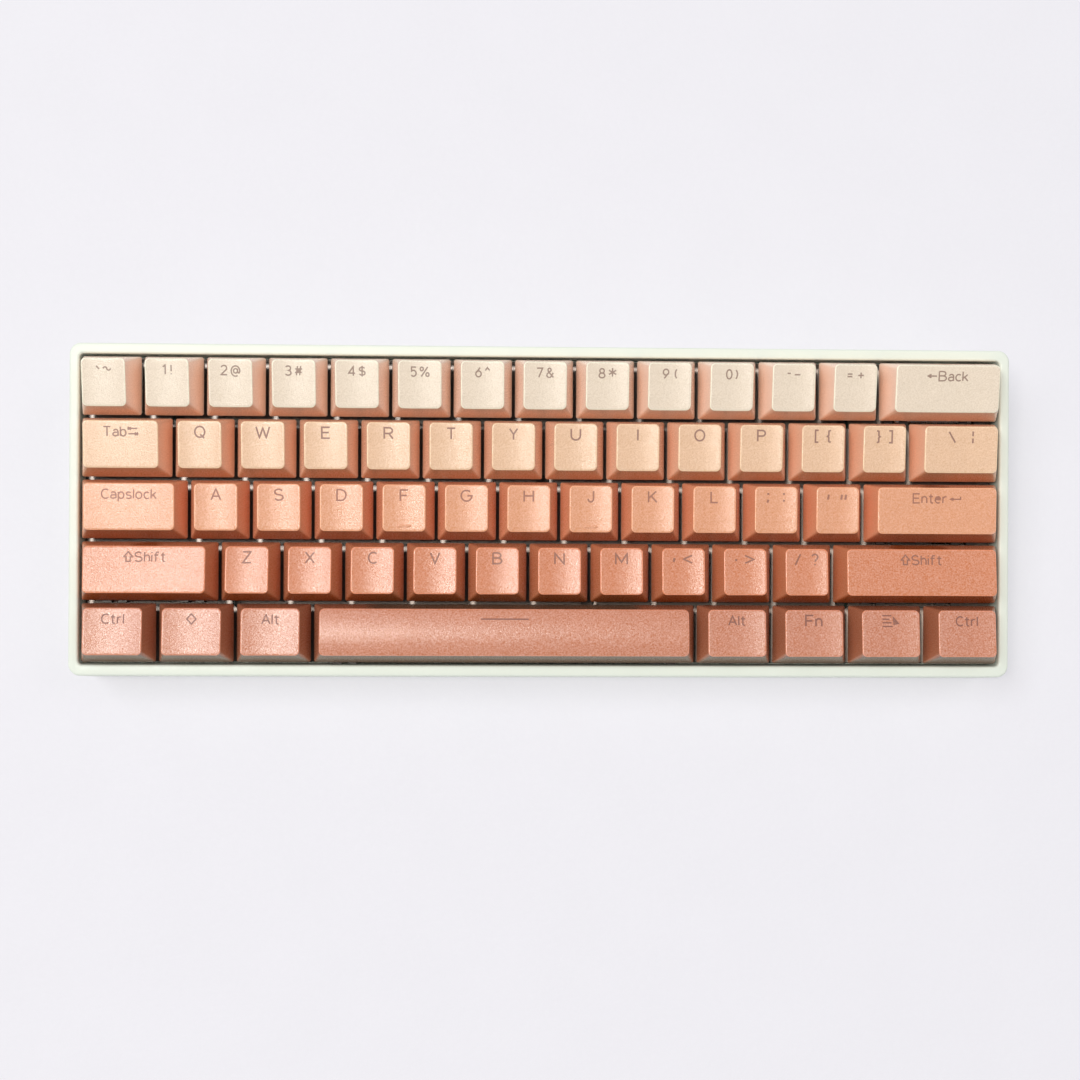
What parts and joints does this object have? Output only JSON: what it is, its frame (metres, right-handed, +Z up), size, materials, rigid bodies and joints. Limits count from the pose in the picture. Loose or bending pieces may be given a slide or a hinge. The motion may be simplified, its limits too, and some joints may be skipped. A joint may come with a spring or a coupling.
{
  "type": "mechanical keyboard",
  "caption": "Compact mechanical keyboard in a wedge-shaped tray, with tall dished keycaps on sprung switches and wire-stabilised wide keys.",
  "frame": {"origin": "bottom centre of the keyboard, on the desk plane under the rubber feet", "axes": "+X from left to right along the rows, +Y from the typist's side to the back, +Z up; the key field slopes up towards +Y by 6 degrees"},
  "size_m": [0.2926, 0.1022, 0.0411],
  "materials": {
    "tray_white": "fine moulded texture, satin",
    "plate_white": "white powder coat",
    "board_green": "solder mask",
    "housing_milky": "milky moulded",
    "spring_steel": "bright drawn wire",
    "contact_brass": "stamped leaf",
    "led_lens": "clear dome over a yellowish die",
    "chip_black": "moulded epoxy",
    "steel_shell": "plated sheet",
    "screw_steel": "zinc plated",
    "foot_rubber": "fine textured",
    "flip_white": "moulded, satin",
    "wire_steel": "drawn wire",
    "cap_row_1": "fine textured, cream",
    "cap_row_2": "fine textured, light peach",
    "cap_row_3": "fine textured, peach orange",
    "cap_row_4": "fine textured, salmon",
    "cap_row_5": "fine textured, dusty rose"
  },
  "bodies": {
    "root": {"case_tray": "tray_white", "switch_plate": "plate_white", "circuit_board": "board_green", "switch_lower_housings": "housing_milky", "switch_upper_housings": "housing_milky", "switch_springs": "spring_steel", "switch_contacts": "contact_brass", "key_leds": "led_lens", "board_components": "chip_black", "usb_socket": "steel_shell", "stabiliser_housings": "housing_milky", "case_screws": "screw_steel", "rubber_feet": "foot_rubber"},
    "number_row_keys": {"number_row_keys": "cap_row_1"},
    "backspace_key": {"backspace_key": "cap_row_1"},
    "q_key": {"q_key": "cap_row_2"},
    "w_key": {"w_key": "cap_row_2"},
    "e_key": {"e_key": "cap_row_2"},
    "r_key": {"r_key": "cap_row_2"},
    "t_key": {"t_key": "cap_row_2"},
    "y_key": {"y_key": "cap_row_2"},
    "u_key": {"u_key": "cap_row_2"},
    "i_key": {"i_key": "cap_row_2"},
    "o_key": {"o_key": "cap_row_2"},
    "p_key": {"p_key": "cap_row_2"},
    "tab_key": {"tab_key": "cap_row_2"},
    "backslash_key": {"backslash_key": "cap_row_2"},
    "caps_lock_key": {"caps_lock_key": "cap_row_3"},
    "a_key": {"a_key": "cap_row_3"},
    "s_key": {"s_key": "cap_row_3"},
    "d_key": {"d_key": "cap_row_3"},
    "f_key": {"f_key": "cap_row_3"},
    "g_key": {"g_key": "cap_row_3"},
    "h_key": {"h_key": "cap_row_3"},
    "j_key": {"j_key": "cap_row_3"},
    "k_key": {"k_key": "cap_row_3"},
    "l_key": {"l_key": "cap_row_3"},
    "enter_key": {"enter_key": "cap_row_3"},
    "left_shift_key": {"left_shift_key": "cap_row_4"},
    "z_key": {"z_key": "cap_row_4"},
    "x_key": {"x_key": "cap_row_4"},
    "c_key": {"c_key": "cap_row_4"},
    "v_key": {"v_key": "cap_row_4"},
    "b_key": {"b_key": "cap_row_4"},
    "n_key": {"n_key": "cap_row_4"},
    "m_key": {"m_key": "cap_row_4"},
    "right_shift_key": {"right_shift_key": "cap_row_4"},
    "left_ctrl_key": {"left_ctrl_key": "cap_row_5"},
    "diamond_key": {"diamond_key": "cap_row_5"},
    "left_alt_key": {"left_alt_key": "cap_row_5"},
    "space_bar": {"space_bar": "cap_row_5"},
    "right_modifier_keys": {"right_modifier_keys": "cap_row_5"},
    "punctuation_keys": {"punctuation_keys": "cap_row_3"},
    "backspace_wire": {"backspace_wire": "wire_steel"},
    "enter_wire": {"enter_wire": "wire_steel"},
    "left_shift_wire": {"left_shift_wire": "wire_steel"},
    "right_shift_wire": {"right_shift_wire": "wire_steel"},
    "space_bar_wire": {"space_bar_wire": "wire_steel"},
    "left_flip_foot": {"left_flip_foot": "flip_white"},
    "right_flip_foot": {"right_flip_foot": "flip_white"}
  },
  "joints": [
    {"name": "number_row_press", "type": "slide", "parent": "root", "child": "number_row_keys", "axis": [0, 0.1045, -0.9945], "range_m": [0, 0.004], "stiffness_N_per_m": 975, "springref_m": -0.006},
    {"name": "backspace_press", "type": "slide", "parent": "root", "child": "backspace_key", "axis": [0, 0.1045, -0.9945], "range_m": [0, 0.004], "stiffness_N_per_m": 105, "springref_m": -0.006},
    {"name": "q_press", "type": "slide", "parent": "root", "child": "q_key", "axis": [0, 0.1045, -0.9945], "range_m": [0, 0.004], "stiffness_N_per_m": 75, "springref_m": -0.006},
    {"name": "w_press", "type": "slide", "parent": "root", "child": "w_key", "axis": [0, 0.1045, -0.9945], "range_m": [0, 0.004], "stiffness_N_per_m": 75, "springref_m": -0.006},
    {"name": "e_press", "type": "slide", "parent": "root", "child": "e_key", "axis": [0, 0.1045, -0.9945], "range_m": [0, 0.004], "stiffness_N_per_m": 75, "springref_m": -0.006},
    {"name": "r_press", "type": "slide", "parent": "root", "child": "r_key", "axis": [0, 0.1045, -0.9945], "range_m": [0, 0.004], "stiffness_N_per_m": 75, "springref_m": -0.006},
    {"name": "t_press", "type": "slide", "parent": "root", "child": "t_key", "axis": [0, 0.1045, -0.9945], "range_m": [0, 0.004], "stiffness_N_per_m": 75, "springref_m": -0.006},
    {"name": "y_press", "type": "slide", "parent": "root", "child": "y_key", "axis": [0, 0.1045, -0.9945], "range_m": [0, 0.004], "stiffness_N_per_m": 75, "springref_m": -0.006},
    {"name": "u_press", "type": "slide", "parent": "root", "child": "u_key", "axis": [0, 0.1045, -0.9945], "range_m": [0, 0.004], "stiffness_N_per_m": 75, "springref_m": -0.006},
    {"name": "i_press", "type": "slide", "parent": "root", "child": "i_key", "axis": [0, 0.1045, -0.9945], "range_m": [0, 0.004], "stiffness_N_per_m": 75, "springref_m": -0.006},
    {"name": "o_press", "type": "slide", "parent": "root", "child": "o_key", "axis": [0, 0.1045, -0.9945], "range_m": [0, 0.004], "stiffness_N_per_m": 75, "springref_m": -0.006},
    {"name": "p_press", "type": "slide", "parent": "root", "child": "p_key", "axis": [0, 0.1045, -0.9945], "range_m": [0, 0.004], "stiffness_N_per_m": 75, "springref_m": -0.006},
    {"name": "tab_press", "type": "slide", "parent": "root", "child": "tab_key", "axis": [0, 0.1045, -0.9945], "range_m": [0, 0.004], "stiffness_N_per_m": 75, "springref_m": -0.006},
    {"name": "backslash_press", "type": "slide", "parent": "root", "child": "backslash_key", "axis": [0, 0.1045, -0.9945], "range_m": [0, 0.004], "stiffness_N_per_m": 75, "springref_m": -0.006},
    {"name": "caps_lock_press", "type": "slide", "parent": "root", "child": "caps_lock_key", "axis": [0, 0.1045, -0.9945], "range_m": [0, 0.004], "stiffness_N_per_m": 75, "springref_m": -0.006},
    {"name": "a_press", "type": "slide", "parent": "root", "child": "a_key", "axis": [0, 0.1045, -0.9945], "range_m": [0, 0.004], "stiffness_N_per_m": 75, "springref_m": -0.006},
    {"name": "s_press", "type": "slide", "parent": "root", "child": "s_key", "axis": [0, 0.1045, -0.9945], "range_m": [0, 0.004], "stiffness_N_per_m": 75, "springref_m": -0.006},
    {"name": "d_press", "type": "slide", "parent": "root", "child": "d_key", "axis": [0, 0.1045, -0.9945], "range_m": [0, 0.004], "stiffness_N_per_m": 75, "springref_m": -0.006},
    {"name": "f_press", "type": "slide", "parent": "root", "child": "f_key", "axis": [0, 0.1045, -0.9945], "range_m": [0, 0.004], "stiffness_N_per_m": 75, "springref_m": -0.006},
    {"name": "g_press", "type": "slide", "parent": "root", "child": "g_key", "axis": [0, 0.1045, -0.9945], "range_m": [0, 0.004], "stiffness_N_per_m": 75, "springref_m": -0.006},
    {"name": "h_press", "type": "slide", "parent": "root", "child": "h_key", "axis": [0, 0.1045, -0.9945], "range_m": [0, 0.004], "stiffness_N_per_m": 75, "springref_m": -0.006},
    {"name": "j_press", "type": "slide", "parent": "root", "child": "j_key", "axis": [0, 0.1045, -0.9945], "range_m": [0, 0.004], "stiffness_N_per_m": 75, "springref_m": -0.006},
    {"name": "k_press", "type": "slide", "parent": "root", "child": "k_key", "axis": [0, 0.1045, -0.9945], "range_m": [0, 0.004], "stiffness_N_per_m": 75, "springref_m": -0.006},
    {"name": "l_press", "type": "slide", "parent": "root", "child": "l_key", "axis": [0, 0.1045, -0.9945], "range_m": [0, 0.004], "stiffness_N_per_m": 75, "springref_m": -0.006},
    {"name": "enter_press", "type": "slide", "parent": "root", "child": "enter_key", "axis": [0, 0.1045, -0.9945], "range_m": [0, 0.004], "stiffness_N_per_m": 105, "springref_m": -0.006},
    {"name": "left_shift_press", "type": "slide", "parent": "root", "child": "left_shift_key", "axis": [0, 0.1045, -0.9945], "range_m": [0, 0.004], "stiffness_N_per_m": 105, "springref_m": -0.006},
    {"name": "z_press", "type": "slide", "parent": "root", "child": "z_key", "axis": [0, 0.1045, -0.9945], "range_m": [0, 0.004], "stiffness_N_per_m": 75, "springref_m": -0.006},
    {"name": "x_press", "type": "slide", "parent": "root", "child": "x_key", "axis": [0, 0.1045, -0.9945], "range_m": [0, 0.004], "stiffness_N_per_m": 75, "springref_m": -0.006},
    {"name": "c_press", "type": "slide", "parent": "root", "child": "c_key", "axis": [0, 0.1045, -0.9945], "range_m": [0, 0.004], "stiffness_N_per_m": 75, "springref_m": -0.006},
    {"name": "v_press", "type": "slide", "parent": "root", "child": "v_key", "axis": [0, 0.1045, -0.9945], "range_m": [0, 0.004], "stiffness_N_per_m": 75, "springref_m": -0.006},
    {"name": "b_press", "type": "slide", "parent": "root", "child": "b_key", "axis": [0, 0.1045, -0.9945], "range_m": [0, 0.004], "stiffness_N_per_m": 75, "springref_m": -0.006},
    {"name": "n_press", "type": "slide", "parent": "root", "child": "n_key", "axis": [0, 0.1045, -0.9945], "range_m": [0, 0.004], "stiffness_N_per_m": 75, "springref_m": -0.006},
    {"name": "m_press", "type": "slide", "parent": "root", "child": "m_key", "axis": [0, 0.1045, -0.9945], "range_m": [0, 0.004], "stiffness_N_per_m": 75, "springref_m": -0.006},
    {"name": "right_shift_press", "type": "slide", "parent": "root", "child": "right_shift_key", "axis": [0, 0.1045, -0.9945], "range_m": [0, 0.004], "stiffness_N_per_m": 105, "springref_m": -0.006},
    {"name": "left_ctrl_press", "type": "slide", "parent": "root", "child": "left_ctrl_key", "axis": [0, 0.1045, -0.9945], "range_m": [0, 0.004], "stiffness_N_per_m": 75, "springref_m": -0.006},
    {"name": "diamond_press", "type": "slide", "parent": "root", "child": "diamond_key", "axis": [0, 0.1045, -0.9945], "range_m": [0, 0.004], "stiffness_N_per_m": 75, "springref_m": -0.006},
    {"name": "left_alt_press", "type": "slide", "parent": "root", "child": "left_alt_key", "axis": [0, 0.1045, -0.9945], "range_m": [0, 0.004], "stiffness_N_per_m": 75, "springref_m": -0.006},
    {"name": "space_bar_press", "type": "slide", "parent": "root", "child": "space_bar", "axis": [0, 0.1045, -0.9945], "range_m": [0, 0.004], "stiffness_N_per_m": 105, "springref_m": -0.006, "deforming": ["switch_springs"]},
    {"name": "right_modifier_press", "type": "slide", "parent": "root", "child": "right_modifier_keys", "axis": [0, 0.1045, -0.9945], "range_m": [0, 0.004], "stiffness_N_per_m": 300, "springref_m": -0.006},
    {"name": "punctuation_press", "type": "slide", "parent": "root", "child": "punctuation_keys", "axis": [0, 0.1045, -0.9945], "range_m": [0, 0.004], "stiffness_N_per_m": 525, "springref_m": -0.006},
    {"name": "backspace_wire_turn", "type": "hinge", "parent": "root", "child": "backspace_wire", "pos_m": [0.12383, 0.02983, 0.02237], "axis": [1, 0, 0], "range_deg": [-26.47, 0.2]},
    {"name": "enter_wire_turn", "type": "hinge", "parent": "root", "child": "enter_wire", "pos_m": [0.12144, -0.00806, 0.01838], "axis": [1, 0, 0], "range_deg": [-26.47, 0.2]},
    {"name": "left_shift_wire_turn", "type": "hinge", "parent": "root", "child": "left_shift_wire", "pos_m": [-0.12144, -0.02701, 0.01639], "axis": [1, 0, 0], "range_deg": [-26.47, 0.2]},
    {"name": "right_shift_wire_turn", "type": "hinge", "parent": "root", "child": "right_shift_wire", "pos_m": [0.11668, -0.02701, 0.01639], "axis": [1, 0, 0], "range_deg": [-26.47, 0.2]},
    {"name": "space_bar_wire_turn", "type": "hinge", "parent": "root", "child": "space_bar_wire", "pos_m": [-0.01191, -0.04595, 0.0144], "axis": [1, 0, 0], "range_deg": [-26.47, 0.2]},
    {"name": "left_flip_foot_swing", "type": "hinge", "parent": "root", "child": "left_flip_foot", "pos_m": [-0.098, 0.04217, 0.005], "axis": [1, 0, 0], "range_deg": [0, 90]},
    {"name": "right_flip_foot_swing", "type": "hinge", "parent": "root", "child": "right_flip_foot", "pos_m": [0.098, 0.04217, 0.005], "axis": [1, 0, 0], "range_deg": [0, 90]}
  ],
  "couplings": [
    {"joint": "backspace_wire_turn", "follows": "backspace_press", "rad_per_m": -114.64},
    {"joint": "enter_wire_turn", "follows": "enter_press", "rad_per_m": -114.64},
    {"joint": "left_shift_wire_turn", "follows": "left_shift_press", "rad_per_m": -114.64},
    {"joint": "right_shift_wire_turn", "follows": "right_shift_press", "rad_per_m": -114.64},
    {"joint": "space_bar_wire_turn", "follows": "space_bar_press", "rad_per_m": -114.64}
  ]
}
